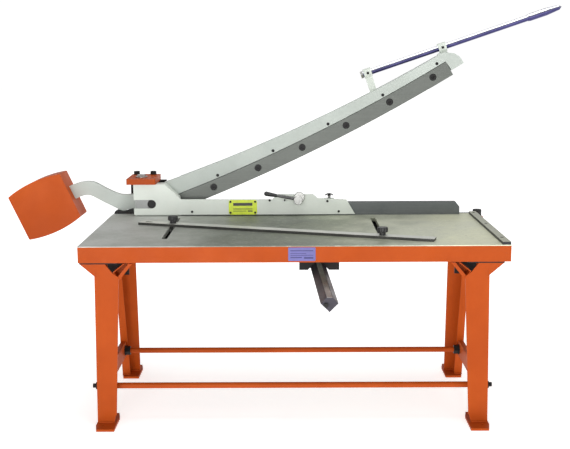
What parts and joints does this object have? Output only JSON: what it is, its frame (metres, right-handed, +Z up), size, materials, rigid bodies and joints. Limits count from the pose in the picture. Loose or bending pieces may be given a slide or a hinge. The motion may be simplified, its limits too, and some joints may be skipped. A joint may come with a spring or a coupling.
{
  "type": "metal shear",
  "caption": "Hand-lever guillotine shear on a steel stand: counterweighted swinging blade, table with cam hold-down, angled stop bar and front gauge bar.",
  "frame": {"origin": "centre of the four floor-bolt holes, on the floor", "axes": "+X to the operator's right, +Y from the operator to the blade, +Z up"},
  "size_m": [2.1085, 0.894, 1.4038],
  "materials": {
    "black_paint": "dull black paint",
    "orange_paint": "semi-gloss orange paint",
    "grey_paint": "light grey-green paint",
    "ground_steel_table": "ground cast table",
    "blade_steel": "ground blade steel",
    "clamp_steel": "dark ground bar",
    "bar_steel": "drawn flat bar",
    "fence_steel": "ground",
    "dark_steel": "dark oiled bar",
    "scale_metal": "satin",
    "bright_steel": "machined",
    "black_screws": "blackened steel",
    "black_plastic": "moulded",
    "buffer_rubber": "matt",
    "brass": "machined",
    "chrome_rod": "polished",
    "name_plate": "printed plate, no text",
    "rating_plate": "printed plate, no text"
  },
  "bodies": {
    "stand": {"table_plate": "ground_steel_table", "front_apron": "orange_paint", "side_aprons": "orange_paint", "blade_rail": "orange_paint", "lower_blade": "blade_steel", "table_screws": "black_screws", "side_fence": "fence_steel", "slot_channels": "black_screws", "rating_plate": "rating_plate", "front_legs": "orange_paint", "rear_legs": "orange_paint", "side_rails": "orange_paint", "knee_braces": "orange_paint", "top_pads": "black_paint", "foot_plates": "orange_paint", "tie_rods": "orange_paint", "tie_rod_nuts": "black_screws", "buffer_bracket": "orange_paint", "buffer": "buffer_rubber", "front_plate": "grey_paint", "pivot_insert": "bright_steel", "head_block": "grey_paint", "back_plate": "black_paint", "corner_block": "grey_paint", "cap_plate": "orange_paint", "cap_spacer": "black_screws", "cap_bolts": "black_screws", "cap_nut": "bright_steel", "pivot_shaft": "black_screws", "plate_screws": "black_screws", "lever_stop_pin": "black_screws", "name_plate": "name_plate", "arm_stop": "black_screws", "lift_bracket": "grey_paint", "gauge_hangers": "black_paint"},
    "blade_arm": {"arm_casting": "grey_paint", "pivot_bush": "brass", "upper_blade": "blade_steel", "upper_blade_screws": "black_screws", "blade_set_screws": "black_screws", "handle_rod": "chrome_rod", "handle_nut": "bright_steel", "handle_grip": "chrome_rod", "handle_collars": "grey_paint", "collar_screws": "black_screws", "counterweight": "orange_paint"},
    "clamp_lever": {"eccentric": "bright_steel", "lever_rod": "black_screws", "lever_grip": "black_plastic"},
    "clamp_foot": {"clamp_bar": "clamp_steel", "lift_stud": "bright_steel", "wing_nut": "black_screws", "lift_spring": "bright_steel"},
    "angle_stop": {"stop_bar": "bar_steel", "stop_bar_bolts": "bright_steel"},
    "left_stop_knob": {"left_knob": "black_plastic"},
    "right_stop_knob": {"right_knob": "black_plastic"},
    "gauge": {"gauge_bar": "dark_steel", "gauge_scale": "scale_metal", "gauge_end_screw": "black_screws"}
  },
  "joints": [
    {"name": "arm_swing", "type": "hinge", "parent": "stand", "child": "blade_arm", "pos_m": [-0.533, 0.39, 0.6658], "axis": [0, 1, 0], "range_deg": [0, 25.35]},
    {"name": "hold_down_lever", "type": "hinge", "parent": "stand", "child": "clamp_lever", "pos_m": [0.0293, 0.287, 0.6832], "axis": [0, 1, 0], "range_deg": [0, 100.5]},
    {"name": "clamp_lift", "type": "slide", "parent": "stand", "child": "clamp_foot", "axis": [0, 0, 1], "range_m": [0, 0.0046], "deforming": ["lift_spring"]},
    {"name": "stop_bar_slide", "type": "slide", "parent": "stand", "child": "angle_stop", "axis": [0, 1, 0], "range_m": [0, 0.12]},
    {"name": "left_knob_turn", "type": "hinge", "parent": "angle_stop", "child": "left_stop_knob", "pos_m": [-0.427, 0.08975, 0.64], "axis": [0, 0, 1], "continuous": true},
    {"name": "right_knob_turn", "type": "hinge", "parent": "angle_stop", "child": "right_stop_knob", "pos_m": [0.305, -0.15802, 0.64], "axis": [0, 0, 1], "continuous": true},
    {"name": "gauge_slide", "type": "slide", "parent": "stand", "child": "gauge", "axis": [0.0488, -0.9983, -0.0314], "range_m": [-0.08, 0.12]}
  ],
  "couplings": [
    {"joint": "hold_down_lever", "follows": "clamp_lift", "rad_per_m": 379.42}
  ]
}
